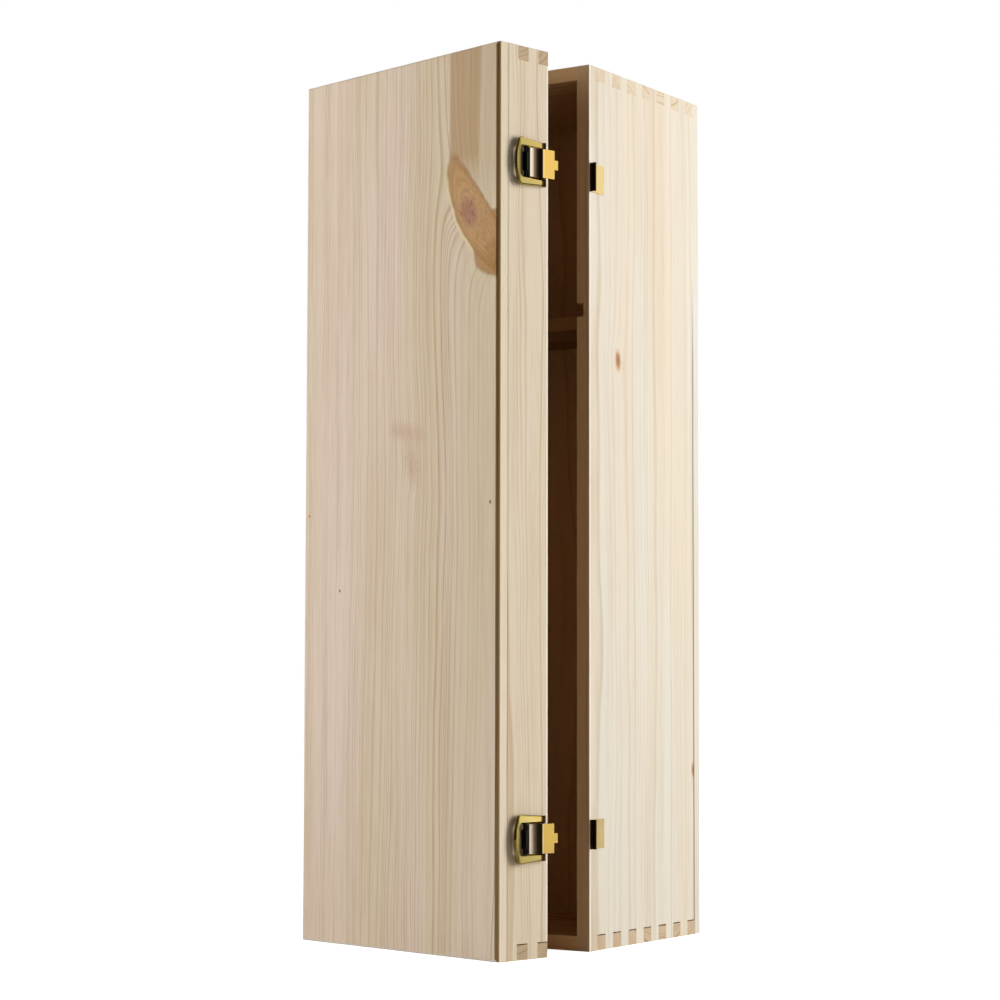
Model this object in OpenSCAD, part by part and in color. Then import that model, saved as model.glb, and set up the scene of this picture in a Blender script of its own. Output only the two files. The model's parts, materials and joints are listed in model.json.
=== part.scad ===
// Wooden wine box for one large bottle, standing on its end with the lid ajar.
// The origin is the centre of the body's foot. The length runs along +Z, the lid is at -Y,
// the hinges are at -X and the latches at +X.

/* [Box] */
// Length of the box, from foot to top
box_length = 520; // [420:1:640]
// Width across the two side walls
box_width = 170; // [140:1:220]
// Depth of the body's walls, from the rim to the back panel
body_depth = 125; // [100:0.5:160]
// Depth of the lid's walls, from the rim to the lid panel
lid_depth = 32.5; // [28:0.5:60]
// Thickness of the side walls and the end walls
wall = 8.5; // [7.5:0.1:12]
// Thickness of the back panel and the lid panel
panel = 7.5; // [5:0.1:12]
// Gap between the two rims when the lid is shut
rim_gap = 0.3; // [0.2:0.1:0.6]
// Width of the small chamfer along the outer arrises
arris = 0.3; // [0.2:0.1:1.2]
// Radius of the roundover round the lid panel's face
lid_round = 2; // [1:0.1:4]
// Radius of the roundover round the back panel's face
back_round = 1; // [0.5:0.1:3]
// Angle at which the lid stands open
lid_open = 12.8; // [5:0.1:60]

/* [Comb joints] */
// Fingers along each corner of the body
body_fingers = 14; // [8:2:18]
// Fingers along each corner of the lid
lid_fingers = 4; // [2:2:6]
// Glue gap between neighbouring fingers
comb_gap = 0.1; // [0.05:0.05:0.3]
// Height of the open gap over each finger at the foot
comb_relief = 0.6; // [0.2:0.1:1]

/* [Neck rest] */
// Height of the neck rest's underside above the foot
rest_height = 370; // [300:1:400]
// Thickness of the neck rest
rest_thickness = 8; // [6:0.1:12]
// Depth of the dado in each side wall
dado_depth = 4.5; // [3:0.1:6]
// Play of the neck rest in its dados
rest_play = 0.4; // [0.2:0.1:1]
// Radius of the half-moon that carries the bottle's neck
neck_radius = 21; // [15:0.5:30]
// Radius of the neck rest's two free corners
rest_corner = 12; // [4:1:20]

/* [Hinges] */
// Distance of each hinge's middle from its end of the box
hinge_inset = 67.5; // [50:0.5:120]
// Height of a hinge
hinge_height = 40; // [30:1:60]
// Width of a leaf, from the pin's axis
leaf_width = 18; // [14:0.5:24]
// Thickness of a leaf
leaf_thickness = 1.2; // [0.8:0.1:1.6]
// Outer radius of the knuckles
knuckle_radius = 1.8; // [1.5:0.1:2.5]
// Knuckles of a hinge, body and lid in turn
knuckles = 5; // [3:2:7]
// Gap between neighbouring knuckles
knuckle_gap = 0.2; // [0.1:0.05:0.4]
// Gap between the knuckles and the arrises of the walls
knuckle_clearance = 0.3; // [0.2:0.1:0.6]
// Radius of the hinge pin
hinge_pin_radius = 0.9; // [0.6:0.05:1.1]

/* [Latches] */
// Distance of each latch's middle from its end of the box
latch_inset = 67.5; // [50:0.5:120]
// Thickness of the sheet of the latch bases, strikes and tongues
sheet = 0.8; // [0.6:0.05:1]
// Distance of the lever's pivot from the parting of the rims
pivot_back = 5.7; // [5:0.1:8]
// Length of the lever, from its pivot to its far end
lever_length = 24.2; // [22:0.1:27]
// Width of the lever at its far end
lever_width = 28; // [26:0.1:34]
// Width of the lever at its pivot
lever_root_width = 25.5; // [23:0.1:26]
// Thickness of the lever
lever_thickness = 2; // [1.8:0.1:2.4]
// Width of the lever's far bar
lever_bar = 4.1; // [3:0.1:5]
// Depth by which the lever's far end bulges between its corners
lever_bulge = 2; // [1:0.1:3]
// Radius of the lever's outer corners
lever_corner = 3.5; // [3:0.1:6]
// Height of the lever's underside above the wall when it is shut
lever_clearance = 0.7; // [0.4:0.1:1]
// Radius of the curls that turn on the lever pin
lever_curl = 1.5; // [1.3:0.1:1.8]
// Radius of the lever pin
lever_pin_radius = 0.75; // [0.5:0.05:0.9]
// Distance from the lever pin to the tongue pin
tongue_reach = 15.9; // [14:0.1:17]
// Width of the tongue between the lever's arms
tongue_width = 16.6; // [14:0.1:17]
// Distance from the lever pin back to the start of the tongue's bridge
bridge_back = 5; // [4:0.1:6]
// Distance of the tongue's shoulders from the parting of the rims
tongue_shoulder = 1.4; // [0.3:0.1:2]
// Radius of the curl at the tongue's root
tongue_curl = 1.6; // [1.4:0.1:1.8]
// Length of the curl at the tongue's root
tongue_curl_length = 10.4; // [8:0.1:13]
// Depth to which the tongue pin is seated in each of the lever's arms
pin_seat = 3; // [2:0.1:3.5]
// Radius of the tongue pin
tongue_pin_radius = 0.75; // [0.5:0.05:0.9]
// Width of the tongue's hook
hook_width = 5.5; // [4:0.1:10]
// Depth of the hook behind the strike's lip
hook_depth = 0.9; // [0.6:0.1:1.2]
// Height of the strike's lip above the wall
lip_height = 4.4; // [3.8:0.1:4.8]
// Length of the strike, from the rim
strike_length = 15.5; // [12:0.5:22]
// Distance of the strike's nails from the rim
strike_nail_back = 4; // [3.5:0.1:10]
// Width of the strike
strike_width = 17; // [13:0.5:22]
// Length of the latch base behind the lever's pivot
base_length = 12.4; // [11:0.1:13]
// Angle by which the resting lever stands off its shut position
lever_rest = 3.4; // [3.3:0.1:6]
// Turn of the tongue for each degree that the lever turns back
tongue_ratio = 1.2; // [1.2:0.01:1.25]

/* [Nails] */
// Radius of a nail's shank
nail_radius = 0.75; // [0.5:0.05:1]
// Length of a nail's shank
nail_length = 6.5; // [4:0.1:7]
// Radius of a nail's head
nail_head_radius = 1.6; // [1.3:0.1:2]
// Height of a nail's head
nail_head_height = 0.5; // [0.3:0.05:0.5]

/* [Fits] */
// Radial play of a knuckle or a curl that turns on its pin
running_fit = 0.05; // [0.02:0.01:0.09]
// Play between latch pieces that pass each other
latch_play = 0.25; // [0.2:0.05:0.3]

/* [Hidden] */
$fn = 48;

// Cutters run this far past the faces that they cut.
past = 1;
// Height of the slices that a hull joins
thin = 0.01;
// A nail head's flat top, as a share of its radius
nail_crown = 0.6;
// Each of a leaf's three nails, as [share of the leaf's height, share of its width]
leaf_nails = [[-0.35, 0.72], [0, 0.4], [0.35, 0.72]];
// Place of the latch base's nails, as a share of its length
base_nail_share = 0.55;
// Largest turn between two points of a bend
bend_step = 15;
// Pieces of the hollow sweep from the tongue's pan up to its bridge
sweep_steps = 6;
// Eased lower edge of the lever, as a share of its upper edge's radius
lever_ease = 0.25;
// Place where an arm runs into its curl, as a share of the curl's radius
arm_end = 0.7;
// Bevel round the lever's slot, as a share of the lever's thickness
slot_bevel = 0.45;
// Places across half the lever's far end where its bulge is drawn
bulge_shares = [-0.45, 0, 0.45];
pine = "#dccaa6";
brass = "#d8b04c";

// Places of the box
rim_y = -(body_depth + panel) / 2;
parting_y = rim_y - rim_gap / 2;
inner_half = box_width / 2 - wall;
hinge_stand = knuckle_radius + knuckle_clearance;
hinge_axis = [-box_width / 2 - hinge_stand, parting_y, 0];
latch_heights = [latch_inset, box_length - latch_inset];
hinge_heights = [hinge_inset, box_length - hinge_inset];
upper = 1;
lower = 0;

// Places of a latch, as [out of the wall, from the parting towards the body]
pivot = [lever_curl + latch_play, -pivot_back];
tongue_pin_rise = max(tongue_curl + latch_play, lever_clearance + lever_thickness / 2);
tongue_pivot = [tongue_pin_rise, -pivot_back - tongue_reach];
opening_width = tongue_width + 2 * latch_play;
base_width = opening_width - 2 * latch_play;
pan_rise = sheet + nail_head_height + latch_play + sheet / 2;
bridge_rise = pivot[0] + lever_curl + latch_play + sheet / 2;
hook_rise = lip_height + latch_play + sheet / 2;
hook_place = rim_gap / 2 + 1.5 * sheet + latch_play;
bend = 1.1 * sheet;
pan_start = tongue_pivot[1] + tongue_pin_radius + 2 * latch_play;
bridge_start = pivot[1] - bridge_back;
bridge_end = -tongue_shoulder;
nail_row_base = pivot[1] - base_nail_share * base_length;
nail_spread = base_width / 4;

// ---- Sheet metal -------------------------------------------------------------------------

function unit(v) = v / norm(v);
function left_of(v) = [-v[1], v[0]];

// One bend of a strip: the points of its arc, each with the direction across the strip
function bend_points(a, b, c, radius) =
  let(
    into = unit(b - a),
    out = unit(c - b),
    turn = atan2(into[0] * out[1] - into[1] * out[0], into * out),
    steps = ceil(abs(turn) / bend_step),
    side = sign(turn),
    start = b - into * radius * tan(abs(turn) / 2),
    centre = start + left_of(into) * radius * side
  )
  [for (i = [0:steps])
    let(angle = turn * i / steps, across = -side * left_of(into))
    let(radial = [across[0] * cos(angle) - across[1] * sin(angle),
                  across[0] * sin(angle) + across[1] * cos(angle)])
    [centre + radial * radius, -side * radial]];

// The middle line of a strip through the given points, with round bends
function strip_line(points, radius) =
  let(last = len(points) - 1)
  concat(
    [[points[0], left_of(unit(points[1] - points[0]))]],
    [for (i = [1:1:last - 1])
      each bend_points(points[i - 1], points[i], points[i + 1], radius)],
    [[points[last], left_of(unit(points[last] - points[last - 1]))]]
  );

// A bent strip of sheet metal, seen from its edge and extruded to its width
module strip(points, width) {
  line = strip_line(points, bend);
  linear_extrude(width, center = true)
    polygon(concat(
      [for (p = line) p[0] + p[1] * sheet / 2],
      [for (i = [len(line) - 1:-1:0]) line[i][0] - line[i][1] * sheet / 2]
    ));
}

// ---- Nails -------------------------------------------------------------------------------

// A nail that is driven along -Z through a sheet whose face is at zero
module nail() {
  cylinder(h = nail_head_height, r1 = nail_head_radius, r2 = nail_crown * nail_head_radius);
  translate([0, 0, -nail_length]) cylinder(h = nail_length, r = nail_radius);
}

module nail_hole(radius) {
  translate([0, 0, -nail_length]) cylinder(h = nail_length + past, r = radius);
}

// Places of the strike's nails on the body, and of the latch base's nails on the shut lid
module at_latch_nails(height, row) {
  for (side = [-1, 1])
    translate([box_width / 2 + sheet, parting_y + row, height + side * nail_spread])
      rotate([0, 90, 0]) children();
}

// Places of a leaf's three nails, on the body with side 1 and on the shut lid with side -1
module at_leaf_nails(height, side) {
  for (place = leaf_nails)
    translate([
      -box_width / 2 - leaf_thickness,
      parting_y + side * place[1] * leaf_width,
      height + place[0] * hinge_height
    ])
      rotate([0, -90, 0]) children();
}

// ---- Wooden walls ------------------------------------------------------------------------
// Walls are drawn with their rim at y = 0 and their panel at the far end of +Y.

module in_body() {
  translate([0, rim_y, 0]) children();
}

module in_shut_lid() {
  translate([0, parting_y - rim_gap / 2, 0]) mirror([0, 1, 0]) children();
}

// The lid and all that it carries, swung open round the hinge axis
module lid_swing() {
  translate(hinge_axis) rotate([0, 0, -lid_open]) translate(-hinge_axis) children();
}

// Half of a box's outline from half width x = 0, chamfered at the rim and round at the panel
function half_outline(half, depth, round, steps = 8) =
  concat(
    [[half - arris, 0], [half, arris]],
    [for (i = [0:steps])
      [half - round + round * cos(90 * i / steps), depth - round + round * sin(90 * i / steps)]]
  );

module outline(half, depth, round) {
  right = half_outline(half, depth, round);
  polygon(concat(right, [for (i = [len(right) - 1:-1:0]) [-right[i][0], right[i][1]]]));
}

// The solid outer form of the body or the lid, with its arrises eased
module outer_form(depth, round) {
  intersection() {
    linear_extrude(box_length) outline(box_width / 2, depth, round);
    translate([-box_width / 2, 0, box_length / 2])
      rotate([0, 90, 0])
        linear_extrude(box_width) outline(box_length / 2, depth, round);
    translate([0, depth, box_length / 2])
      rotate([90, 0, 0])
        linear_extrude(depth)
          for (turn = [0, 1])
            mirror([turn, 0]) end_outline(box_width / 2, box_length / 2);
  }
}

// A rectangle about the origin with its corners chamfered
module end_outline(half_width, half_length) {
  polygon([
    [half_width, arris - half_length], [half_width, half_length - arris],
    [half_width - arris, half_length], [arris - half_width, half_length],
    [-half_width, half_length - arris], [-half_width, arris - half_length],
    [arris - half_width, -half_length], [half_width - arris, -half_length]
  ]);
}

// Slots for every second finger of a comb joint, counted from the rim
module comb_slots(depth, fingers, first, height = wall + past) {
  pitch = depth / fingers;
  for (i = [first:2:fingers - 1]) {
    from = i == 0 ? -past : i * pitch - comb_gap / 2;
    to = i == fingers - 1 ? depth + past : (i + 1) * pitch + comb_gap / 2;
    translate([0, from, 0]) cube([wall + past, to - from, height]);
  }
}

// The side wall at +X, with slots at both ends
module side_wall(depth, fingers, first) {
  difference() {
    translate([inner_half, 0, 0]) cube([wall, depth, box_length]);
    translate([inner_half - past / 2, 0, -past])
      comb_slots(depth, fingers, first, past + wall + comb_relief);
    translate([inner_half - past / 2, 0, box_length - wall])
      comb_slots(depth, fingers, first);
  }
}

// The end wall at the foot, with slots at both sides
module end_wall(depth, fingers, first) {
  difference() {
    translate([-box_width / 2, 0, 0]) cube([box_width, depth, wall]);
    for (turn = [0, 1])
      mirror([turn, 0, 0])
        translate([inner_half, 0, -past / 2]) comb_slots(depth, fingers, first);
  }
}

module at_top() {
  translate([0, 0, box_length]) mirror([0, 0, 1]) children();
}

module body_form() {
  outer_form(body_depth + panel, back_round);
}

module lid_form() {
  outer_form(lid_depth + panel, lid_round);
}

// The body's walls have a finger at the rim, the lid's walls have a slot there.
module body_side_wall() {
  intersection() {
    body_form();
    side_wall(body_depth, body_fingers, 1);
  }
}

module body_end_wall() {
  intersection() {
    body_form();
    end_wall(body_depth, body_fingers, 0);
  }
}

module lid_side_wall() {
  intersection() {
    lid_form();
    side_wall(lid_depth, lid_fingers, 0);
  }
}

module lid_end_wall() {
  intersection() {
    lid_form();
    end_wall(lid_depth, lid_fingers, 1);
  }
}

// The dado in the side wall at +X, open at the rim
module dado() {
  translate([inner_half - past, -past, rest_height])
    cube([dado_depth + past, body_depth + past, rest_thickness + rest_play]);
}

// ---- Body --------------------------------------------------------------------------------

module body_latch_wall() {
  color(pine) difference() {
    in_body() difference() {
      body_side_wall();
      dado();
    }
    for (height = latch_heights)
      at_latch_nails(height, strike_nail_back) nail_hole(nail_radius);
  }
}

module body_hinge_wall() {
  color(pine) difference() {
    in_body() mirror([1, 0, 0]) difference() {
      body_side_wall();
      dado();
    }
    for (height = hinge_heights)
      at_leaf_nails(height, 1) nail_hole(nail_radius);
  }
}

module body_foot_wall() {
  color(pine) in_body() body_end_wall();
}

module body_top_wall() {
  color(pine) in_body() at_top() body_end_wall();
}

module back_panel() {
  color(pine) in_body() intersection() {
    body_form();
    translate([-box_width / 2, body_depth, 0]) cube([box_width, panel, box_length]);
  }
}

// A cross board with a half-moon for the bottle's neck, on the bottle's own axis
module neck_rest() {
  half = inner_half + dado_depth - rest_play / 2;
  axis_y = (body_depth - lid_depth - rim_gap) / 2;
  color(pine) in_body() translate([0, 0, rest_height])
    linear_extrude(rest_thickness)
      difference() {
        union() {
          translate([-half, axis_y + rest_corner])
            square([2 * half, body_depth - axis_y - rest_corner]);
          translate([rest_corner - half, axis_y])
            square([2 * (half - rest_corner), body_depth - axis_y]);
          for (side = [-1, 1])
            translate([side * (half - rest_corner), axis_y + rest_corner])
              circle(rest_corner);
        }
        translate([0, axis_y]) circle(neck_radius);
      }
}

// ---- Hinges ------------------------------------------------------------------------------

// One leaf of a butt hinge, for the body: knuckles first, first + 2 and so on are its own
module leaf(height, first) {
  pitch = hinge_height / knuckles;
  leaf_start = knuckle_radius + knuckle_clearance;
  translate([hinge_axis[0], hinge_axis[1], height - hinge_height / 2])
    difference() {
      union() {
        translate([hinge_stand - leaf_thickness, leaf_start, 0])
          cube([leaf_thickness, leaf_width - leaf_start, hinge_height]);
        for (i = [first:2:knuckles - 1])
          translate([0, 0, i * pitch + knuckle_gap / 2]) {
            cylinder(h = pitch - knuckle_gap, r = knuckle_radius);
            translate([hinge_stand - leaf_thickness, 0, 0])
              cube([leaf_thickness - knuckle_clearance, leaf_start, pitch - knuckle_gap]);
          }
      }
      translate([0, 0, -past])
        cylinder(h = hinge_height + 2 * past, r = hinge_pin_radius + (first == 0 ? 0 : running_fit));
    }
}

module body_leaf(height) {
  color(brass) difference() {
    leaf(height, 0);
    at_leaf_nails(height, 1) nail_hole(nail_radius);
  }
}

module lid_leaf(height) {
  color(brass) lid_swing() difference() {
    translate([0, 2 * parting_y, 0]) mirror([0, 1, 0]) leaf(height, 1);
    at_leaf_nails(height, -1) nail_hole(nail_radius);
  }
}

module hinge_pin(height) {
  color(brass)
    translate([hinge_axis[0], hinge_axis[1], height - hinge_height / 2])
      cylinder(h = hinge_height, r = hinge_pin_radius);
}

module hinge_nails_body() {
  color(brass) for (height = hinge_heights) at_leaf_nails(height, 1) nail();
}

module hinge_nails_lid() {
  color(brass) lid_swing() for (height = hinge_heights) at_leaf_nails(height, -1) nail();
}

// ---- Lid ---------------------------------------------------------------------------------

module lid_latch_wall() {
  color(pine) lid_swing() difference() {
    in_shut_lid() lid_side_wall();
    for (height = latch_heights)
      at_latch_nails(height, nail_row_base) nail_hole(nail_radius);
  }
}

module lid_hinge_wall() {
  color(pine) lid_swing() difference() {
    in_shut_lid() mirror([1, 0, 0]) lid_side_wall();
    for (height = hinge_heights)
      at_leaf_nails(height, -1) nail_hole(nail_radius);
  }
}

module lid_foot_wall() {
  color(pine) lid_swing() in_shut_lid() lid_end_wall();
}

module lid_top_wall() {
  color(pine) lid_swing() in_shut_lid() at_top() lid_end_wall();
}

module lid_panel() {
  color(pine) lid_swing() in_shut_lid() intersection() {
    lid_form();
    translate([-box_width / 2, lid_depth, 0]) cube([box_width, panel, box_length]);
  }
}

// ---- Latches -----------------------------------------------------------------------------
// Latch pieces are drawn shut, with the wall's face at x = 0 and the parting at y = 0.

module at_latch(height) {
  translate([box_width / 2, parting_y, height]) children();
}

module turned_about(place, angle) {
  translate([place[0], place[1], 0])
    rotate([0, 0, angle])
      translate([-place[0], -place[1], 0]) children();
}

// The lever's resting turn on the open lid
module lever_turn(height) {
  lid_swing() at_latch(height) turned_about(pivot, lever_rest) children();
}

// The strike: a flat plate on the body with its lip turned up at the rim
module strike(height) {
  lip_place = rim_gap / 2 + sheet / 2;
  color(brass) difference() {
    at_latch(height)
      strip([[sheet / 2, strike_length], [sheet / 2, lip_place], [lip_height, lip_place]],
            strike_width);
    at_latch_nails(height, strike_nail_back) nail_hole(nail_radius);
  }
}

module strike_nails() {
  color(brass) for (height = latch_heights) at_latch_nails(height, strike_nail_back) nail();
}

// The latch base: a plate under the tongue that curls round the lever pin
module latch_base(height) {
  color(brass) lid_swing() difference() {
    at_latch(height) {
      translate([0, pivot[1] - base_length, -base_width / 2])
        cube([sheet, base_length, base_width]);
      translate([pivot[0], pivot[1], -base_width / 2])
        cylinder(h = base_width, r = lever_curl);
    }
    at_latch_nails(height, nail_row_base) nail_hole(nail_radius);
    at_latch(height) translate([pivot[0], pivot[1], -base_width])
      cylinder(h = 2 * base_width, r = lever_pin_radius);
  }
}

module latch_nails() {
  color(brass) lid_swing()
    for (height = latch_heights) at_latch_nails(height, nail_row_base) nail();
}

module lever_pin(height) {
  color(brass) lid_swing() at_latch(height)
    translate([pivot[0], pivot[1], -lever_root_width / 2])
      cylinder(h = lever_root_width, r = lever_pin_radius);
}

// A thin slice of the lever's outline at one level, drawn in by the given inset
module lever_slice(level, inset) {
  far_corner = lever_length - lever_bulge - lever_corner;
  root = pivot[1] - arm_end * lever_curl;
  half = lever_width / 2 - lever_corner;
  translate([level, 0, 0]) rotate([0, 90, 0]) {
    for (side = [-1, 1])
      translate([side * half, pivot[1] - far_corner, 0])
        cylinder(h = thin, r = lever_corner - inset, $fn = 32);
    linear_extrude(thin)
      polygon([
        for (share = bulge_shares)
          [half * share, pivot[1] - lever_length + inset + lever_bulge * pow(share, 2)]
      ]);
    translate([-lever_root_width / 2 + inset, root - thin, 0])
      cube([lever_root_width - 2 * inset, thin, thin]);
  }
}

// The lever's solid outline, with its outer edge rounded over
module lever_blank() {
  top = lever_clearance + lever_thickness;
  edge = lever_thickness / 2;
  hull() {
    lever_slice(lever_clearance, lever_ease * edge);
    lever_slice(lever_clearance + lever_ease * edge, 0);
    for (angle = [0:30:90])
      lever_slice(top - edge + edge * sin(angle) - thin, edge * (1 - cos(angle)));
  }
}

// The slot between the lever's arms, round at its inner corners
module lever_opening(height, widen) {
  corner = lever_bar / 2 + widen;
  half = opening_width / 2 + widen;
  end = pivot[1] - lever_length + lever_bar - widen;
  rotate([0, 90, 0]) {
    translate([-half, end + corner, 0]) cube([2 * half, lever_length, height]);
    translate([corner - half, end, 0]) cube([2 * (half - corner), corner + past, height]);
    for (side = [-1, 1])
      translate([side * (half - corner), end + corner, 0]) cylinder(h = height, r = corner);
  }
}

// The lever: a round-ended frame whose two arms end in curls on the lever pin
module lever(height) {
  top = lever_clearance + lever_thickness;
  bevel = slot_bevel * lever_thickness;
  color(brass) lever_turn(height) difference() {
    union() {
      difference() {
        lever_blank();
        translate([lever_clearance - past, 0, 0])
          lever_opening(lever_thickness + 2 * past, 0);
        hull() {
          translate([top - bevel, 0, 0]) lever_opening(thin, 0);
          translate([top, 0, 0]) lever_opening(thin, bevel);
        }
      }
      for (side = [0, 1])
        mirror([0, 0, side])
          translate([pivot[0], pivot[1], opening_width / 2])
            cylinder(h = (lever_root_width - opening_width) / 2, r = lever_curl);
    }
    translate([pivot[0], pivot[1], -lever_width])
      cylinder(h = 2 * lever_width, r = lever_pin_radius + running_fit);
    translate([tongue_pivot[0], tongue_pivot[1], -opening_width / 2 - pin_seat])
      cylinder(h = opening_width + 2 * pin_seat, r = tongue_pin_radius);
  }
}

module tongue_pin(height) {
  color(brass) lever_turn(height)
    translate([tongue_pivot[0], tongue_pivot[1], -opening_width / 2 - pin_seat])
      cylinder(h = opening_width + 2 * pin_seat, r = tongue_pin_radius);
}

// The tongue: a curl on the tongue pin, a hollow pan, a bridge over the lever pin and a hook
module tongue(height) {
  sweep = [for (i = [0:sweep_steps])
    let(share = i / sweep_steps)
    [pan_rise + (bridge_rise - pan_rise) * pow(share, 2),
     pan_start + (bridge_start - pan_start) * share]];
  bridge_at = function(y) bridge_rise + (hook_rise - bridge_rise)
    * (y - bridge_start) / (hook_place - bridge_start);
  color(brass) lever_turn(height) turned_about(tongue_pivot, -tongue_ratio * lever_rest)
    difference() {
      union() {
        translate([tongue_pivot[0], tongue_pivot[1], -tongue_curl_length / 2])
          cylinder(h = tongue_curl_length, r = tongue_curl);
        strip([[pan_rise, tongue_pivot[1]], [pan_rise, pan_start + sheet]], tongue_curl_length);
        strip(concat(sweep, [[bridge_at(bridge_end), bridge_end]]), tongue_width);
        strip([
          [bridge_at(bridge_end - sheet), bridge_end - sheet], [hook_rise, hook_place],
          [lip_height - hook_depth, hook_place]
        ], hook_width);
      }
      translate([tongue_pivot[0], tongue_pivot[1], -tongue_width])
        cylinder(h = 2 * tongue_width, r = tongue_pin_radius + running_fit);
    }
}

// ---- Nodes -------------------------------------------------------------------------------

body_latch_wall();
body_hinge_wall();
body_top_wall();
body_foot_wall();
back_panel();
neck_rest();
strike(latch_heights[upper]);  // strike_upper
strike(latch_heights[lower]);  // strike_lower
strike_nails();
body_leaf(hinge_heights[upper]);  // hinge_leaf_body_upper
body_leaf(hinge_heights[lower]);  // hinge_leaf_body_lower
hinge_nails_body();
hinge_pin(hinge_heights[upper]);  // hinge_pin_upper
hinge_pin(hinge_heights[lower]);  // hinge_pin_lower
lid_latch_wall();
lid_hinge_wall();
lid_top_wall();
lid_foot_wall();
lid_panel();
lid_leaf(hinge_heights[upper]);  // hinge_leaf_lid_upper
lid_leaf(hinge_heights[lower]);  // hinge_leaf_lid_lower
hinge_nails_lid();
latch_base(latch_heights[upper]);  // latch_base_upper
latch_base(latch_heights[lower]);  // latch_base_lower
latch_nails();
lever_pin(latch_heights[upper]);  // lever_pin_upper
lever_pin(latch_heights[lower]);  // lever_pin_lower
lever(latch_heights[upper]);  // lever_upper
lever(latch_heights[lower]);  // lever_lower
tongue_pin(latch_heights[upper]);  // tongue_pin_upper
tongue_pin(latch_heights[lower]);  // tongue_pin_lower
tongue(latch_heights[upper]);  // tongue_upper
tongue(latch_heights[lower]);  // tongue_lower
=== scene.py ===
"""A tall pine wine box with comb-jointed corners and brass draw latches, its lid ajar."""

import json
import math
from typing import NamedTuple

import bmesh
import bpy
from mathutils import Matrix, Vector

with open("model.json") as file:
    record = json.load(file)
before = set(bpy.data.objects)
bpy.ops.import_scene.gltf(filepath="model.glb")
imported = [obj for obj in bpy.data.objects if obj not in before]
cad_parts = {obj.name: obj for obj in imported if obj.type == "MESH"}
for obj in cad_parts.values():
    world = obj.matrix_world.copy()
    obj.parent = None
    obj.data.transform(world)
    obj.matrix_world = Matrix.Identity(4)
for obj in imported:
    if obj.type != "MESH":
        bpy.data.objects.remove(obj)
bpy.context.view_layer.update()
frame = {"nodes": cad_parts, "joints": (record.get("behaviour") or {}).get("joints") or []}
scene = bpy.context.scene
scene.view_settings.view_transform = "Standard"

# ---- Camera -------------------------------------------------------------------------------
# A long lens a little below the middle of the box and nearly level, so its long edges stay
# almost upright. Place and turns come from a fit to the edges of the body and of the lid.

MM = 0.001
CAMERA_PLACE = Vector((863.8, -1348.2, 159.3)) * MM
CAMERA_YAW = math.radians(33.275)
CAMERA_PITCH = math.radians(3.904)
CAMERA_ROLL = math.radians(0.117)
LENS_MM = 92.54

camera_data = bpy.data.cameras.new("camera")
camera_data.lens = LENS_MM
camera_data.sensor_width = 36.0
camera_data.clip_end = 100.0
camera = bpy.data.objects.new("camera", camera_data)
scene.collection.objects.link(camera)
camera.matrix_world = (
    Matrix.Translation(CAMERA_PLACE)
    @ Matrix.Rotation(CAMERA_YAW, 4, "Z")
    @ Matrix.Rotation(math.radians(90) + CAMERA_PITCH, 4, "X")
    @ Matrix.Rotation(CAMERA_ROLL, 4, "Z")
)
scene.camera = camera

# ---- Studio -------------------------------------------------------------------------------
# A white ground, one softbox right and behind, and one left and in front. What shines mirrors
# a room of its own: bright to the right and to the left behind, with a dark gap between them,
# and nearly black on the camera's side.

BOX_MIDDLE = Vector((0, 0, 0.26))
SOFTBOX_AWAY = 1.7
SOFTBOX_WIDTH = 0.7
SOFTBOX_HEIGHT = 1.6
# Bearing round the box in degrees from +X, and how bright the mirrored room is there
MIRRORED_ROOM = ((-180, 0.8), (-150, 0.55), (-130, 0.03), (-25, 0.03), (-4, 0.25), (10, 1.15),
                 (60, 1.2), (76, 0.4), (96, 0.1), (112, 0.5), (128, 1.0), (180, 0.8))


def colour(hex_code):
    """The linear RGBA of an sRGB hex colour."""
    parts = [int(hex_code[i:i + 2], 16) / 255 for i in (1, 3, 5)]
    return [p / 12.92 if p <= 0.04045 else ((p + 0.055) / 1.055) ** 2.4 for p in parts] + [1.0]


def add(tree, kind, inputs=None, **settings):
    """Adds a node with its settings, and links or sets its inputs."""
    node = tree.nodes.new(kind)
    for name, value in settings.items():
        setattr(node, name, value)
    for name, value in (inputs or {}).items():
        if isinstance(value, bpy.types.Node):
            value = value.outputs[0]
        if isinstance(value, bpy.types.NodeSocket):
            tree.links.new(value, node.inputs[name])
        else:
            node.inputs[name].default_value = value
    return node


def set_stops(ramp, stops):
    """Fills a colour ramp; the first and the last stop stand at its two ends."""
    ramp.elements[0].color = stops[0][1]
    ramp.elements[1].color = stops[-1][1]
    for where, tint in stops[1:-1]:
        ramp.elements.new(where).color = tint


def new_material(name):
    """A node material with an empty tree."""
    material = bpy.data.materials.new(name)
    material.use_nodes = True
    tree = material.node_tree
    tree.nodes.clear()
    return material, tree


def softbox(name, direction, watts):
    """A soft lamp that looks at the middle of the box and is itself never seen."""
    lamp = bpy.data.lights.new(name, "AREA")
    lamp.shape = "RECTANGLE"
    lamp.size = SOFTBOX_WIDTH
    lamp.size_y = SOFTBOX_HEIGHT
    lamp.energy = watts
    thing = bpy.data.objects.new(name, lamp)
    scene.collection.objects.link(thing)
    away = Vector(direction).normalized()
    thing.location = BOX_MIDDLE + away * SOFTBOX_AWAY
    thing.rotation_euler = away.to_track_quat("Z", "Y").to_euler()
    thing.visible_camera = False
    thing.visible_glossy = False


softbox("softbox_right", (0.85, 0.52, 0.12), 40)
softbox("softbox_left", (-0.80, -0.62, 0.12), 30)

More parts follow.
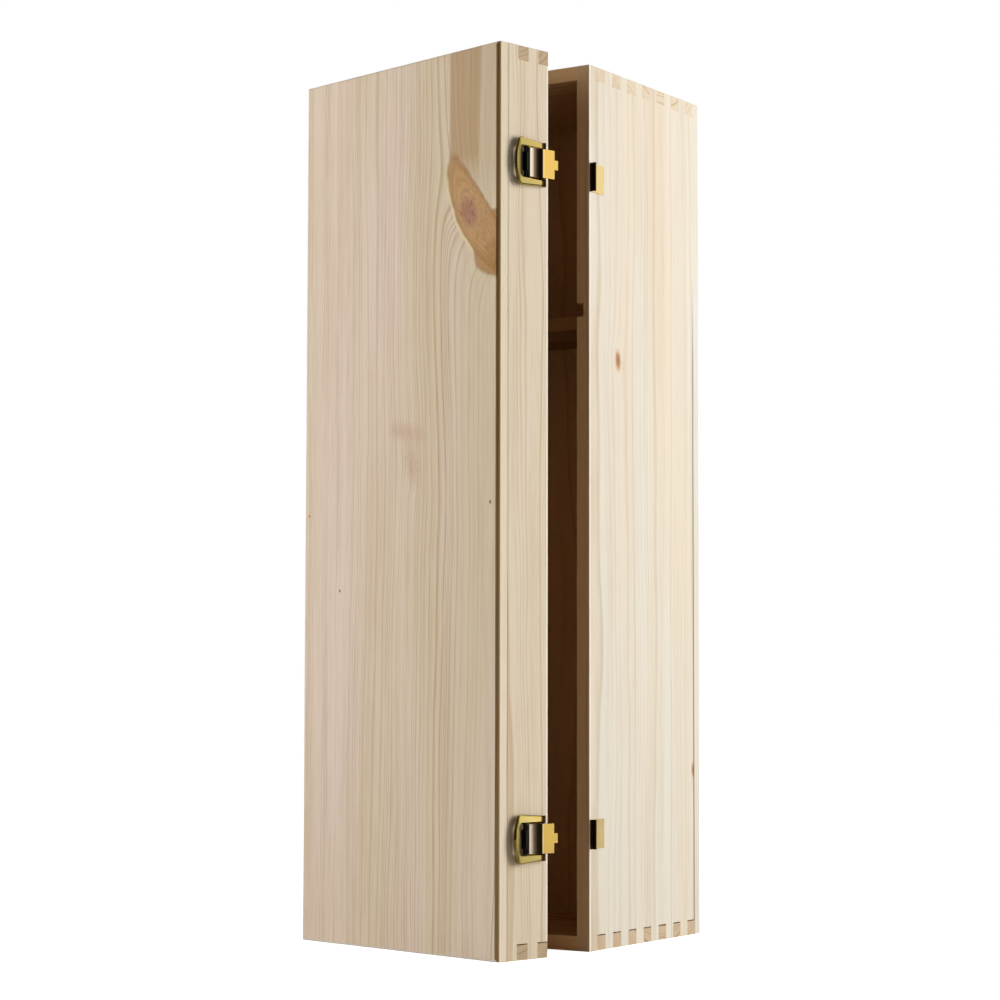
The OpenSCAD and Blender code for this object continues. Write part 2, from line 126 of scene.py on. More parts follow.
world = bpy.data.worlds.new("studio")
world.use_nodes = True
scene.world = world
tree = world.node_tree
tree.nodes.clear()
path = add(tree, "ShaderNodeLightPath")
outward = add(tree, "ShaderNodeTexCoord")
outward = add(tree, "ShaderNodeSeparateXYZ", {0: outward.outputs["Generated"]})
bearing = add(tree, "ShaderNodeMath", {0: outward.outputs["Y"], 1: outward.outputs["X"]},
              operation="ARCTAN2")
bearing = add(tree, "ShaderNodeMapRange", {0: bearing, 1: -math.pi, 2: math.pi, 3: 0.0, 4: 1.0})
room = add(tree, "ShaderNodeValToRGB", {0: bearing})
set_stops(room.color_ramp, [
    (degrees / 360 + 0.5, (level, level, level, 1)) for degrees, level in MIRRORED_ROOM])
shiny = add(tree, "ShaderNodeMath", {
    0: path.outputs["Is Glossy Ray"], 1: path.outputs["Is Transmission Ray"]}, operation="MAXIMUM")
mirrored = add(tree, "ShaderNodeBackground", {"Color": colour("#FFFFFF"), "Strength": room})
ambient = add(tree, "ShaderNodeBackground", {"Color": colour("#FFFFFF"), "Strength": 0.11})
seen = add(tree, "ShaderNodeBackground", {"Color": colour("#FFFFFF"), "Strength": 1.0})
unseen = add(tree, "ShaderNodeMixShader", {0: shiny, 1: ambient, 2: mirrored})
whole = add(tree, "ShaderNodeMixShader", {0: path.outputs["Is Camera Ray"], 1: unseen, 2: seen})
add(tree, "ShaderNodeOutputWorld", {"Surface": whole})

floor_mesh = bmesh.new()
bmesh.ops.create_grid(floor_mesh, x_segments=1, y_segments=1, size=30)
floor_data = bpy.data.meshes.new("floor")
floor_mesh.to_mesh(floor_data)
floor_mesh.free()
floor = bpy.data.objects.new("floor", floor_data)
scene.collection.objects.link(floor)
# A matt white floor, with a glow for the camera alone that lifts it to the ground's white
material, tree = new_material("white_studio_floor")
path = add(tree, "ShaderNodeLightPath")
glow = add(tree, "ShaderNodeEmission", {"Color": colour("#FFFFFF"), "Strength": 0.93})
matt = add(tree, "ShaderNodeBsdfDiffuse", {"Color": colour("#E4E4E4")})
both = add(tree, "ShaderNodeAddShader", {0: glow, 1: matt})
whole = add(tree, "ShaderNodeMixShader", {0: path.outputs["Is Camera Ray"], 1: matt, 2: both})
add(tree, "ShaderNodeOutputMaterial", {"Surface": whole})
floor_data.materials.append(material)

# ---- Body walls ---------------------------------------------------------------------------
# Four sanded pine boards, comb-jointed at the corners: straight grain along each board and
# darker end grain where the fingers come through. Inside and at the rim the wood is painted
# browner: painted shade.

lid_hinge = next(j for j in frame["joints"] if j["name"] == "lid_hinge")
HINGE_PLACE = Vector(lid_hinge["pos_m"])
LID_OPEN = -math.radians(lid_hinge["range_deg"][0])

# How a board's own axes are turned, for grain along Z and along X
GRAIN_TURN = {"z": (0, 0, 0), "x": (0, math.radians(-90), 0)}
# Patches of the wood: width across the grain and length along it, in millimetres. Real fibres
# are much finer, and these are as coarse as they need to be to show.
FIBRE_PATCH = (0.9, 26)
TONE_PATCH = (9, 190)
BLUSH_PATCH = (30, 320)
WANDER_PATCH = (50, 260)
RAGGED_PATCH = (9, 16)
CRACK_PATCH = (1.6, 3.5)
# How far the grain wanders to each side in millimetres, and the small share of a board's
# length that counts as distance from the pith
WANDER = 8
LENGTH_SHARE = 0.012
# How dark a year's wood is, from one spring at 0 to the next at 1; years run wide or narrow
# in groups, and their late wood is faint or strong
SEASON = ((0.0, 0.25), (0.12, 0.0), (0.5, 0.12), (0.86, 1.0), (1.0, 0.2))
GROUPS_PER_YEAR = 0.23
GROUP_SHIFT = 5.0
FAINT_YEAR, STRONG_YEAR = 0.1, 0.85
# Shifts of tone: below 0 towards the pale wood, and above 0 towards the late wood
FIBRE_TONE = (-0.15, 0.15)
SLOW_TONE = (-0.12, 0.18)
# How far a knot's edge is ragged, as a share of its half size
RAGGED_EDGE = (-0.07, 0.07)
CRACK_BROWN = "#7E5230"
STAIN_BROWN = "#A9824C"
CUT_EARLY = "#B6966F"
CUT_LATE = "#6A5236"
# A noise texture's values seldom leave this range, and cracks are its higher values
NOISE_LOW, NOISE_HIGH = 0.3, 0.7
CRACK_LOW, CRACK_HIGH = 0.54, 0.66
# Another place in the same noise, in millimetres, where its pattern differs
ELSEWHERE = (137, 0, 0)
# Cosines between which end grain and lines on a board come in
END_LOW, END_HIGH = 0.8, 0.95
LINE_LOW, LINE_HIGH = 0.6, 0.7
# A knot's edge stands here on its colour ramp, which leaves room for what lies outside it
KNOT_EDGE = 0.8


class Knot(NamedTuple):
    """A knot on the faces that look one way, with place and half sizes in millimetres.

    It is tilted by degrees, bowed by a share of its half width, and pushes the rings aside by
    millimetres. Its own rings and cracks have a strength from 0 to 1.
    """
    look: tuple
    place: tuple
    size: tuple
    skin: tuple
    tilt: float = 0.0
    bow: float = 0.0
    push: float = 0.0
    rings: float = 0.0
    cracks: float = 0.0


class Line(NamedTuple):
    """A line along a board at one depth, up to its top, in millimetres.

    It is full within the inner distance from that depth, and gone at the outer one. A line
    without a top of its own runs past the end of any board.
    """
    look: tuple
    depth: float
    inner: float
    outer: float
    tint: str
    strength: float
    top: float = 999


class Stain(NamedTuple):
    """A browner band along the grain: middle, half width and two ends, in millimetres."""
    middle: float
    half: float
    lower: float
    upper: float
    strength: float


def board_spot(tree, grain, swung):
    """A point in millimetres, with Z along the grain; on the open lid, as when it is shut."""
    spot = add(tree, "ShaderNodeTexCoord").outputs["Object"]
    if swung:
        spot = add(tree, "ShaderNodeVectorMath", {0: spot, 1: HINGE_PLACE}, operation="SUBTRACT")
        spot = add(tree, "ShaderNodeMapping", {"Vector": spot, "Rotation": (0, 0, LID_OPEN)})
        spot = add(tree, "ShaderNodeVectorMath", {0: spot, 1: HINGE_PLACE}, operation="ADD")
    return add(tree, "ShaderNodeMapping", {
        "Vector": spot, "Rotation": GRAIN_TURN[grain], "Scale": (1000, 1000, 1000)})


def face_look(tree, swung):
    """The way a face looks; on the open lid, as when it is shut."""
    look = add(tree, "ShaderNodeTexCoord").outputs["Normal"]
    if swung:
        look = add(tree, "ShaderNodeMapping", {"Vector": look, "Rotation": (0, 0, LID_OPEN)})
    return look


def grain_noise(tree, spot, patch, detail, roughness=0.5):
    """Noise in patches that are drawn out along the grain."""
    across, along = patch
    place = add(tree, "ShaderNodeMapping", {
        "Vector": spot, "Scale": (1 / across, 1 / across, 1 / along)})
    return add(tree, "ShaderNodeTexNoise", {
        "Vector": place, "Scale": 1.0, "Detail": detail, "Roughness": roughness})


def uneven_tone(tree, spot, patch, detail, low, high):
    """A tone that drifts between two levels from patch to patch."""
    noise = grain_noise(tree, spot, patch, detail)
    return add(tree, "ShaderNodeMapRange", {
        0: noise, 1: NOISE_LOW, 2: NOISE_HIGH, 3: low, 4: high})


def on_faces(tree, facing, look, low=0.75, high=0.95):
    """One on the faces that look one way, none on the others; low and high are cosines."""
    alike = add(tree, "ShaderNodeVectorMath", {0: facing, 1: look}, operation="DOT_PRODUCT")
    return add(tree, "ShaderNodeMapRange", {
        0: alike.outputs["Value"], 1: low, 2: high, 3: 0.0, 4: 1.0})


def knot_reach(tree, spot, knot):
    """How far a point lies from a knot's heart, through the board: one at its edge."""
    if knot.look[0]:
        spot = add(tree, "ShaderNodeMapping", {
            "Vector": spot, "Rotation": (0, 0, math.radians(-90))})
    local = add(tree, "ShaderNodeMapping", {
        "Vector": spot, "Location": (knot.place[0], 0, knot.place[1]),
        "Rotation": (0, math.radians(-knot.tilt), 0), "Scale": (knot.size[0], 1, knot.size[1])},
        vector_type="TEXTURE")
    local = add(tree, "ShaderNodeSeparateXYZ", {0: local})
    square = add(tree, "ShaderNodeMath", {0: local.outputs["Z"], 1: 2.0}, operation="POWER")
    lean = add(tree, "ShaderNodeMath", {0: square, 1: -knot.bow, 2: knot.bow},
               operation="MULTIPLY_ADD")
    side = add(tree, "ShaderNodeMath", {0: local.outputs["X"], 1: lean}, operation="ADD")
    side = add(tree, "ShaderNodeMath", {0: side, 1: 2.0}, operation="POWER")
    both = add(tree, "ShaderNodeMath", {0: side, 1: square}, operation="ADD")
    return add(tree, "ShaderNodeMath", {0: both}, operation="SQRT")


def growth_rings(tree, flow, pith, ring, knots, reaches):
    """The late wood of each year: rings about a pith line, pushed aside by each knot."""
    from_pith = add(tree, "ShaderNodeVectorMath", {
        0: flow, 1: (1, 1, LENGTH_SHARE), 2: (-pith[0], -pith[1], 0)}, operation="MULTIPLY_ADD")
    radius = add(tree, "ShaderNodeVectorMath", {0: from_pith}, operation="LENGTH")
    radius = radius.outputs["Value"]
    # A knot's push is full at its heart and dies away outside its edge
    for knot, reach in zip(knots, reaches):
        far = add(tree, "ShaderNodeMath", {0: reach, 1: 3.0}, operation="POWER")
        far = add(tree, "ShaderNodeMath", {0: far, 1: 0.5, 2: 1.0}, operation="MULTIPLY_ADD")
        push = add(tree, "ShaderNodeMath", {0: knot.push, 1: far}, operation="DIVIDE")
        radius = add(tree, "ShaderNodeMath", {0: radius, 1: push}, operation="ADD")
    years = add(tree, "ShaderNodeMath", {0: radius, 1: 1 / ring}, operation="MULTIPLY")
    uneven = add(tree, "ShaderNodeTexNoise", {
        "W": years, "Scale": GROUPS_PER_YEAR, "Detail": 1.0}, noise_dimensions="1D")
    years = add(tree, "ShaderNodeMath", {0: uneven, 1: GROUP_SHIFT, 2: years},
                operation="MULTIPLY_ADD")
    season = add(tree, "ShaderNodeMath", {0: years}, operation="FRACT")
    season = add(tree, "ShaderNodeValToRGB", {0: season})
    set_stops(season.color_ramp, [(when, (dark, dark, dark, 1)) for when, dark in SEASON])
    # Some years leave a strong line, and others hardly one
    year = add(tree, "ShaderNodeMath", {0: years}, operation="FLOOR")
    strong = add(tree, "ShaderNodeTexWhiteNoise", {"W": year}, noise_dimensions="1D")
    strong = add(tree, "ShaderNodeMapRange", {
        0: strong.outputs["Value"], 1: 0.0, 2: 1.0, 3: FAINT_YEAR, 4: STRONG_YEAR})
    return add(tree, "ShaderNodeMath", {0: season, 1: strong}, operation="MULTIPLY")


def add_stain(tree, wood, flow, stain):
    """The wood with a browner band, a millimetre soft at its sides and more at its ends."""
    side_fade, end_fade = 1, 12
    apart = add(tree, "ShaderNodeSeparateXYZ", {0: flow})
    off = add(tree, "ShaderNodeMath", {0: apart.outputs["X"], 1: stain.middle},
              operation="SUBTRACT")
    off = add(tree, "ShaderNodeMath", {0: off}, operation="ABSOLUTE")
    across = add(tree, "ShaderNodeMapRange", {
        0: off, 1: stain.half - side_fade, 2: stain.half + side_fade, 3: stain.strength, 4: 0.0})
    start = add(tree, "ShaderNodeMapRange", {
        0: apart.outputs["Z"], 1: stain.lower - end_fade, 2: stain.lower + end_fade,
        3: 0.0, 4: 1.0})
    end = add(tree, "ShaderNodeMapRange", {
        0: apart.outputs["Z"], 1: stain.upper - end_fade, 2: stain.upper + end_fade,
        3: 1.0, 4: 0.0})
    mask = add(tree, "ShaderNodeMath", {0: across, 1: start}, operation="MULTIPLY")
    mask = add(tree, "ShaderNodeMath", {0: mask, 1: end}, operation="MULTIPLY")
    return add(tree, "ShaderNodeMixRGB", {0: mask, 1: wood, 2: colour(STAIN_BROWN)})


def add_knot(tree, wood, moved, facing, knot, reach):
    """The wood with a knot's skin, from its heart to its edge, and its own rings and cracks."""
    # Radians over the whole ramp, for about six rings from heart to edge
    ring_angle = 48.0
    ragged = uneven_tone(tree, moved, RAGGED_PATCH, 3.0, *RAGGED_EDGE)
    ragged = add(tree, "ShaderNodeMath", {0: reach, 1: ragged}, operation="ADD")
    ragged = add(tree, "ShaderNodeMath", {0: ragged, 1: KNOT_EDGE}, operation="MULTIPLY")
    tone = add(tree, "ShaderNodeValToRGB", {0: ragged})
    stops = [(where * KNOT_EDGE, colour(tint)[:3] + [cover]) for where, tint, cover in knot.skin]
    set_stops(tone.color_ramp, stops + [stops[-1]])
    cover = add(tree, "ShaderNodeMath", {
        0: tone.outputs["Alpha"], 1: on_faces(tree, facing, knot.look)}, operation="MULTIPLY")
    wood = add(tree, "ShaderNodeMixRGB", {0: cover, 1: wood, 2: tone})
    rings = add(tree, "ShaderNodeMath", {0: ragged, 1: ring_angle}, operation="MULTIPLY")
    rings = add(tree, "ShaderNodeMath", {0: rings}, operation="SINE")
    rings = add(tree, "ShaderNodeMapRange", {0: rings, 1: 0.0, 2: 1.0, 3: 0.0, 4: knot.rings})
    cracks = grain_noise(tree, moved, CRACK_PATCH, 2.0, 0.7)
    cracks = add(tree, "ShaderNodeMapRange", {
        0: cracks, 1: CRACK_LOW, 2: CRACK_HIGH, 3: 0.0, 4: knot.cracks})
    marks = add(tree, "ShaderNodeMath", {0: rings, 1: cracks}, operation="MAXIMUM")
    marks = add(tree, "ShaderNodeMath", {0: marks, 1: cover}, operation="MULTIPLY")
    return add(tree, "ShaderNodeMixRGB", {0: marks, 1: wood, 2: colour(CRACK_BROWN)})


def add_line(tree, wood, spot, facing, line):
    """The wood with a line at one depth: a glue joint, a pale band, or a painted highlight."""
    top_fade = 30
    parts = add(tree, "ShaderNodeSeparateXYZ", {0: spot})
    near = add(tree, "ShaderNodeMath", {0: parts.outputs["Y"], 1: line.depth},
               operation="SUBTRACT")
    near = add(tree, "ShaderNodeMath", {0: near}, operation="ABSOLUTE")
    near = add(tree, "ShaderNodeMapRange", {
        0: near, 1: line.inner, 2: line.outer, 3: line.strength, 4: 0.0})
    fade = add(tree, "ShaderNodeMapRange", {
        0: parts.outputs["Z"], 1: line.top - top_fade, 2: line.top + top_fade, 3: 1.0, 4: 0.0})
    near = add(tree, "ShaderNodeMath", {0: near, 1: fade}, operation="MULTIPLY")
    near = add(tree, "ShaderNodeMath", {
        0: near, 1: on_faces(tree, facing, line.look, LINE_LOW, LINE_HIGH)},
        operation="MULTIPLY")
    return add(tree, "ShaderNodeMixRGB", {0: near, 1: wood, 2: colour(line.tint)})


def pine(name, grain="z", swung=False, pith=(-60, 40), ring=2.6, seed=0.0, pale="#E9DCC3",
         late="#C4A277", blush="#E6D6BE", painted_shades=(), knots=(), stains=(), lines=(), drift=0.0,
         ends=0.55):
    """Bare sanded pine: a pale matt ground with brown late-wood lines and short fibres.

    Pith and ring width are in millimetres, drift is the blush that a millimetre across adds,
    and ends is the strength of the end grain. The tones given to faces that look one way are
    painted shade.
    """
    material, tree = new_material(name)
    spot = board_spot(tree, grain, swung)
    facing = face_look(tree, swung)
    moved = add(tree, "ShaderNodeVectorMath", {0: spot, 1: (seed, seed, seed)}, operation="ADD")
    # The grain wanders by some millimetres to each side
    wander = grain_noise(tree, moved, WANDER_PATCH, 2.0)
    wander = add(tree, "ShaderNodeVectorMath", {
        0: wander.outputs["Color"], 1: (2 * WANDER, 2 * WANDER, 0), 2: (-WANDER, -WANDER, 0)},
        operation="MULTIPLY_ADD")
    flow = add(tree, "ShaderNodeVectorMath", {0: spot, 1: wander}, operation="ADD")
    reaches = [knot_reach(tree, spot, knot) for knot in knots]
    late_wood = growth_rings(tree, flow, pith, ring, knots, reaches)
    # Fibres about a millimetre wide, slow changes of tone, and patches of blush
    fibre = grain_noise(tree, moved, FIBRE_PATCH, 3.0, 0.6)
    shade = add(tree, "ShaderNodeMapRange", {
        0: fibre, 1: NOISE_LOW, 2: NOISE_HIGH, 3: FIBRE_TONE[0], 4: FIBRE_TONE[1]})
    slow = uneven_tone(tree, moved, TONE_PATCH, 3.0, *SLOW_TONE)
    total = add(tree, "ShaderNodeMath", {0: late_wood, 1: shade}, operation="ADD")
    total = add(tree, "ShaderNodeMath", {0: total, 1: slow}, operation="ADD", use_clamp=True)
    elsewhere = add(tree, "ShaderNodeVectorMath", {0: moved, 1: ELSEWHERE}, operation="ADD")
    patch = uneven_tone(tree, elsewhere, BLUSH_PATCH, 1.0, 0.0, 1.0)
    sideways = add(tree, "ShaderNodeSeparateXYZ", {0: spot}).outputs["X"]
    patch = add(tree, "ShaderNodeMath", {0: sideways, 1: drift, 2: patch},
                operation="MULTIPLY_ADD", use_clamp=True)
    ground = add(tree, "ShaderNodeMixRGB", {0: patch, 1: colour(pale), 2: colour(blush)})
    wood = add(tree, "ShaderNodeMixRGB", {0: total, 1: ground, 2: colour(late)})
    for stain in stains:
        wood = add_stain(tree, wood, flow, stain)
    for knot, reach in zip(knots, reaches):
        wood = add_knot(tree, wood, moved, facing, knot, reach)
    for line in lines:
        wood = add_line(tree, wood, spot, facing, line)
    # End grain: the cut fibres are darker, and each ring is a dark curve
    along = add(tree, "ShaderNodeMapping", {"Vector": facing, "Rotation": GRAIN_TURN[grain]})
    end = add(tree, "ShaderNodeSeparateXYZ", {0: along}).outputs["Z"]
    end = add(tree, "ShaderNodeMath", {0: end}, operation="ABSOLUTE")
    end = add(tree, "ShaderNodeMapRange", {0: end, 1: END_LOW, 2: END_HIGH, 3: 0.0, 4: ends})
    cut = add(tree, "ShaderNodeMixRGB", {0: late_wood, 1: colour(CUT_EARLY), 2: colour(CUT_LATE)})
    wood = add(tree, "ShaderNodeMixRGB", {0: end, 1: wood, 2: cut})
    # Painted shade on faces that look one way: browner inside and at the rims, a dark arris
    for look, tint, *cosines in painted_shades:
        toned = add(tree, "ShaderNodeMixRGB", {
            0: 1.0, 1: wood, 2: colour(tint)}, blend_type="MULTIPLY")
        wood = add(tree, "ShaderNodeMixRGB", {
            0: on_faces(tree, facing, look, *cosines), 1: wood, 2: toned})
    relief = add(tree, "ShaderNodeBump", {
        "Height": fibre, "Strength": 0.12, "Distance": 0.2 * MM})
    shader = add(tree, "ShaderNodeBsdfPrincipled", {
        "Base Color": wood, "Roughness": 0.58, "Specular IOR Level": 0.35, "Normal": relief})
    add(tree, "ShaderNodeOutputMaterial", {"Surface": shader})
    return material


def finish_nodes(material, *names):
    """Gives CAD nodes one material in all their slots."""
    for name in names:
        mesh = frame["nodes"][name].data
        mesh.materials.clear()
        mesh.materials.append(material)


FRONT = (0, -1, 0)
LATCH_SIDE = (1, 0, 0)
HINGE_SIDE = (-1, 0, 0)
# Painted shade: tints multiplied into the inner faces and the rims, where little light falls
INSIDE_SHADE = "#E5C7A3"
WARM_INSIDE_SHADE = "#F2D2AC"
GLUE = "#5E4A32"
# Depths of the marks on the body's walls, in millimetres back from the origin
BODY_RIM = -66.25
BACK_GLUE = 58.6
# A knot's skin, from its heart at 0 to its edge at 1: tint, and how much of the wood it covers
PIN_KNOT = ((0.0, "#96644A", 1.0), (0.5, "#BA8A66", 0.95), (0.8, "#DDB592", 0.7),
            (1.1, "#E6CDAE", 0.0))

finish_nodes(pine(
    "pine_body_latch_wall", pith=(140, -70), ring=3.2, seed=11.0, pale="#DFD8C9",
    late="#CBB698", blush="#E1D2BC", painted_shades=(((-1, -1, 0), INSIDE_SHADE),),
    knots=(Knot(LATCH_SIDE, (-33.2, 347.2), (3.9, 7.6), PIN_KNOT, tilt=6, push=4, rings=0.2,
                cracks=0.5),
           Knot(LATCH_SIDE, (57.4, 101), (2.4, 6), PIN_KNOT, push=3, rings=0.3, cracks=0.3)),
    # A dark glue line, and a painted highlight along the rim's arris
    lines=(Line(LATCH_SIDE, BACK_GLUE, 0.7, 1.1, GLUE, 0.75, top=380),
           Line(LATCH_SIDE, BODY_RIM, 1.0, 1.8, "#FFF6E2", 0.9))), "body_latch_wall")
finish_nodes(pine(
    "pine_body_hinge_wall", pith=(-150, -30), ring=2.8, seed=23.0,
    painted_shades=(((1, -1, 0), WARM_INSIDE_SHADE),),
    lines=(Line(HINGE_SIDE, BACK_GLUE, 0.3, 0.6, GLUE, 0.6),)), "body_hinge_wall")
finish_nodes(pine(
    "pine_body_foot_wall", grain="x", pith=(-40, 20), ring=2.6, seed=31.0, ends=0.62,
    painted_shades=(((0, -1, 1), INSIDE_SHADE),)), "body_foot_wall")
finish_nodes(pine(
    "pine_body_top_wall", grain="x", pith=(-560, 20), ring=2.6, seed=37.0, ends=0.25,
    painted_shades=(((0, -1, -1), INSIDE_SHADE),)), "body_top_wall")

# ---- Back panel ---------------------------------------------------------------------------
# One wide board glued over the walls; its inner face is the brown ground of the open box,
# painted browner as painted shade.
# The glue shows as a thin dark line where the board meets the wall.

PANEL_GLUE = 58.75

finish_nodes(pine(
    "pine_back_panel", pith=(30, 160), ring=3.0, seed=47.0, pale="#DDD8CE", late="#CDBDA2",
    blush="#DFD5C6", painted_shades=((FRONT, WARM_INSIDE_SHADE),),
    lines=(Line(LATCH_SIDE, PANEL_GLUE, 0.3, 0.8, GLUE, 0.6, top=380),)), "back_panel")

# ---- Neck rest ----------------------------------------------------------------------------
# A cross board in dados of both side walls, with a half-moon for the bottle's neck. It stays
# in the shade of the box, and its wood is painted as dark a brown as the inner faces: painted
# shade.

# Its pale, late and blush tints are painted shade, far darker than the other pine
finish_nodes(pine(
    "pine_neck_rest", grain="x", pith=(0, 90), ring=2.4, seed=53.0, pale="#A07F58",
    late="#86643F", blush="#9A7850"), "neck_rest")

# ---- Lid ----------------------------------------------------------------------------------
# Shallow comb-jointed walls under a wide panel, whose round arris is a dark line: it faces away
# from both lamps, painted shade darkens it further, and painted highlights run along it. The
# inner faces are painted browner as painted shade. The panel has a big slash knot at its latch
# side under a browner band, a pin knot, two specks, and a pink flame where a branch lies under
# the surface.

# Depths of the marks on the lid, as when it is shut
LID_RIM = -66.55
LID_GLUE = -98.6
PANEL_EDGE = -102.8
PANEL_ARRIS = -105.4
# Cosines just over that of 45 degrees, so that the flat faces beside the arris stay out
ARRIS_LOOK = (0.707, -0.707, 0)
ARRIS_COSINES = (0.715, 0.78)
# Painted shade on the round arris, and a painted highlight along it
ARRIS_SHADE = "#A48D68"
ARRIS_GLINT = "#FFFAF0"
PALE_RIM = ((0.0, "#E6D3AA", 0.9), (0.94, "#E6D3AA", 0.9), (1.02, "#E0CCA4", 0.0))
SLASH_KNOT = ((0.0, "#C2986A", 0.95), (0.6, "#C49B6B", 0.95), (0.86, "#BC905E", 0.9),
              (0.94, "#AA8052", 0.85), (1.04, "#B08A60", 0.0))
KNOT_SHADE = ((0.0, "#A17840", 0.6), (0.5, "#A17840", 0.5), (1.1, "#A17840", 0.0))
KNOT_HEART = ((0.0, "#AC7E68", 0.9), (0.6, "#AE8068", 0.8), (1.0, "#BC9470", 0.0))
FLAME = ((0.0, "#C4967E", 0.45), (0.5, "#C69E86", 0.3), (1.15, "#D2B49A", 0.0))
SPECK = ((0.0, "#6E4A30", 0.95), (0.6, "#8A6848", 0.8), (1.0, "#C0A080", 0.0))

finish_nodes(pine(
    "pine_lid_latch_wall", swung=True, pith=(150, -130), ring=2.4, seed=61.0, pale="#E4D5B9",
    late="#C4A277", painted_shades=(((-1, 1, 0), INSIDE_SHADE),),
    # A dark glue line, and a painted highlight along the rim's arris
    lines=(Line(LATCH_SIDE, LID_GLUE, 0.3, 0.6, "#5E4228", 0.35),
           Line(LATCH_SIDE, LID_RIM, 1.0, 1.8, "#FFF2E2", 0.9))), "lid_latch_wall")
finish_nodes(pine(
    "pine_lid_hinge_wall", swung=True, pith=(-140, -60), ring=2.6, seed=67.0,
    painted_shades=(((1, 1, 0), INSIDE_SHADE),)), "lid_hinge_wall")
finish_nodes(pine(
    "pine_lid_foot_wall", grain="x", swung=True, pith=(-60, -110), ring=2.5, seed=71.0,
    ends=0.7, painted_shades=(((0, 1, 1), INSIDE_SHADE),)), "lid_foot_wall")
finish_nodes(pine(
    "pine_lid_top_wall", grain="x", swung=True, pith=(-560, -110), ring=2.5, seed=73.0,
    ends=0.7, painted_shades=(((0, 1, -1), INSIDE_SHADE),)), "lid_top_wall")
finish_nodes(pine(
    "pine_lid_panel", swung=True, pith=(170, -10), ring=2.2, seed=83.0, pale="#E4D0BE",
    late="#BE9C78", blush="#DDCCAE", drift=0.003,
    # Painted shade on the inner face and on the round arris
    painted_shades=(((0, 1, 0), INSIDE_SHADE), (ARRIS_LOOK, ARRIS_SHADE, *ARRIS_COSINES)),
    knots=(
        # The slash knot: its rim, its lobe, its long body, and the shade and heart in it
        Knot(FRONT, (71.9, 418.2), (12.5, 48.8), PALE_RIM, tilt=37.7, bow=0.5, push=9),
        Knot(FRONT, (84, 404), (20, 20), SLASH_KNOT, rings=0.2, cracks=0.35),
        Knot(FRONT, (73.2, 420), (12.9, 48), SLASH_KNOT, tilt=37.7, bow=0.44, rings=0.2,
             cracks=0.35),
        Knot(FRONT, (84, 396), (13, 13), KNOT_SHADE, tilt=30, cracks=0.3),
        Knot(FRONT, (60, 425), (8, 12), KNOT_HEART, tilt=30, rings=0.1, cracks=0.9),
        # The flame's two patches, and the small marks
        Knot(FRONT, (12, 300), (19, 7), FLAME, tilt=-14, bow=0.2, cracks=0.4),
        Knot(FRONT, (14, 284), (8, 17), FLAME, tilt=12, bow=0.3, push=3, cracks=0.4),
        Knot(FRONT, (-51.4, 209.6), (1.2, 1.2), SPECK),
        Knot(FRONT, (-80.2, 255.6), (1.3, 1.3), PIN_KNOT),
        Knot(FRONT, (78.8, 257), (1.2, 1.6), SPECK)),
    stains=(Stain(55.5, 13.3, 446, 600, 0.6), Stain(77, 8, 440, 600, 0.2)),
    # A paler band on the panel's latch-side edge, and painted highlights along its round arris,
    # stronger low down
    lines=(Line(LATCH_SIDE, PANEL_EDGE, 3.0, 3.9, "#F6E6CA", 0.6),
           Line((1, -1, 0), PANEL_ARRIS, 0.9, 1.0, ARRIS_GLINT, 0.4, top=260),
           Line((1, -1, 0), PANEL_ARRIS, 0.9, 1.0, ARRIS_GLINT, 0.5, top=110))), "lid_panel")

# ---- Strikes, hinges and latch levers -----------------------------------------------------
# Thin brass-plated sheet with a mirror polish: gold where it meets the lamps, near black where it
# meets the dark side of the room. Tints by depth on the levers, strikes and tongues are painted
# reflections of what the bends mirror.

# The depth at which the shut rims part, and how far the brass's tints reach from it
PARTING = -66.4
DEEP = -40.0
SHALLOW = 10.0


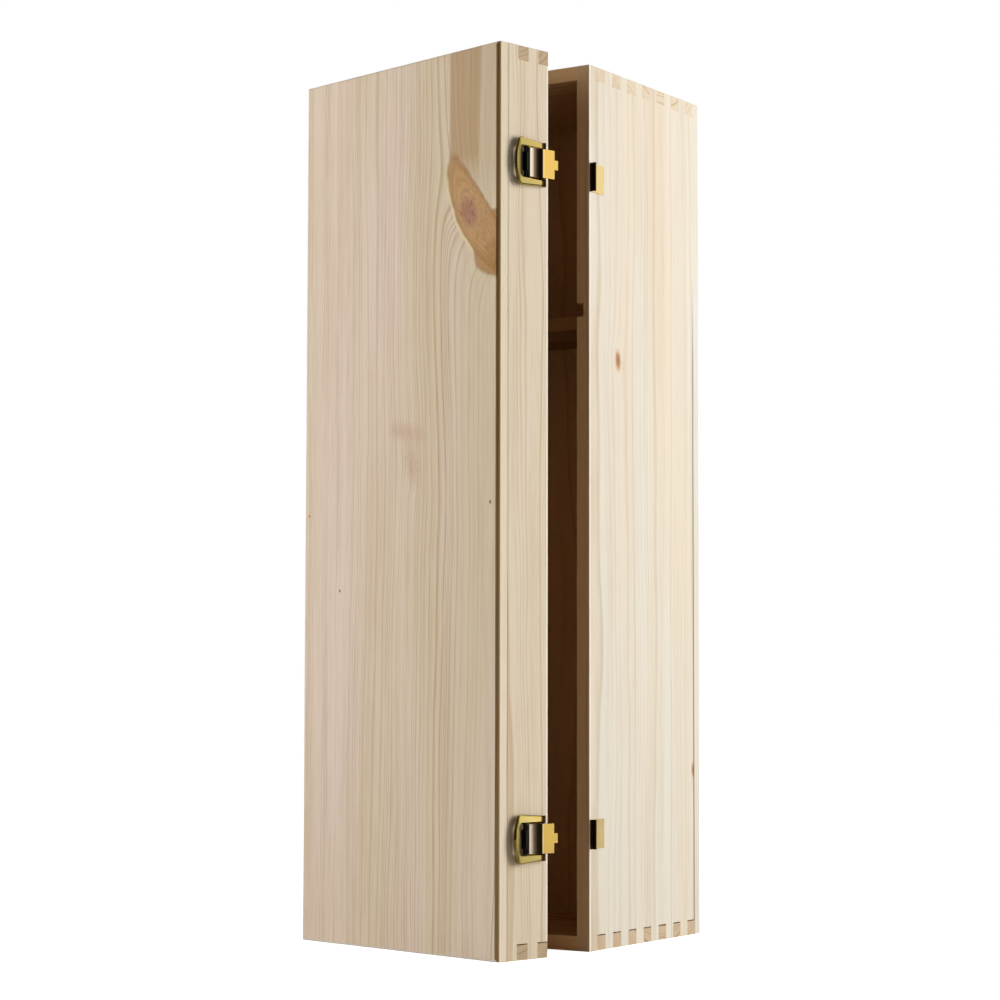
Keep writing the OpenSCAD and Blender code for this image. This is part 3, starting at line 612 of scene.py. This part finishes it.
def brass(name, plate, swung=True):
    """Polished brass plate, which gives the eye the room in gold and little of its own.

    plate holds tints by depth in millimetres from the shut rims' parting: the brass's own gold,
    and on some parts painted reflections and painted shade.
    """
    material, tree = new_material(name)
    spot = board_spot(tree, "z", swung)
    depth = add(tree, "ShaderNodeSeparateXYZ", {0: spot}).outputs["Y"]
    depth = add(tree, "ShaderNodeMapRange", {
        0: depth, 1: PARTING + DEEP, 2: PARTING + SHALLOW, 3: 0.0, 4: 1.0})
    tint = add(tree, "ShaderNodeValToRGB", {0: depth})
    stops = [((where - DEEP) / (SHALLOW - DEEP), colour(hue)) for where, hue in plate]
    set_stops(tint.color_ramp, [stops[0], *stops, stops[-1]])
    shader = add(tree, "ShaderNodeBsdfPrincipled", {
        "Base Color": tint, "Metallic": 1.0, "Roughness": 0.14})
    add(tree, "ShaderNodeOutputMaterial", {"Surface": shader})
    return material


small_brass = [n for n in frame["nodes"] if n.startswith(("hinge", "latch", "lever_pin"))]
finish_nodes(brass("polished_brass_plate", ((0, "#E3BC62"),)), *small_brass)
# The levers' dark and bright bands, and the dark ends of their arms, are painted reflections and
# painted shade
finish_nodes(brass("lever_brass_plate", (
    (-30.0, "#6E5C30"), (-28.4, "#A6914E"), (-27.2, "#7C6A38"), (-25.6, "#B6A35E"),
    (-12.0, "#C2AD68"), (-8.4, "#CCAA54"), (-8.0, "#4A3A20"))), "lever_upper", "lever_lower")
strikes = [n for n in frame["nodes"] if n.startswith("strike")]
# The strikes' dark lip is a painted reflection of the dark side of the room; behind it they are a
# paler gold
finish_nodes(brass("pale_brass_plate", ((1.2, "#4E3F26"), (1.4, "#E0C484")), False), *strikes)

# ---- Latch tongues ------------------------------------------------------------------------
# Each tongue's curl and pin are painted near black, a painted reflection of the dark room; its
# hollow pan goes from pale to dark and ends at the bright edge of the flat bridge, all painted
# reflections.

tongues = [n for n in frame["nodes"] if n.startswith("tongue")]
finish_nodes(brass("mirror_brass_plate", (
    (-18.5, "#17120D"), (-18.0, "#F3E4CC"), (-16.8, "#E2D0B6"), (-15.2, "#8A7660"),
    (-13.0, "#3A2C1E"), (-10.0, "#1E160C"), (-9.6, "#F4DC98"), (-8.6, "#E3BC62"))), *tongues)
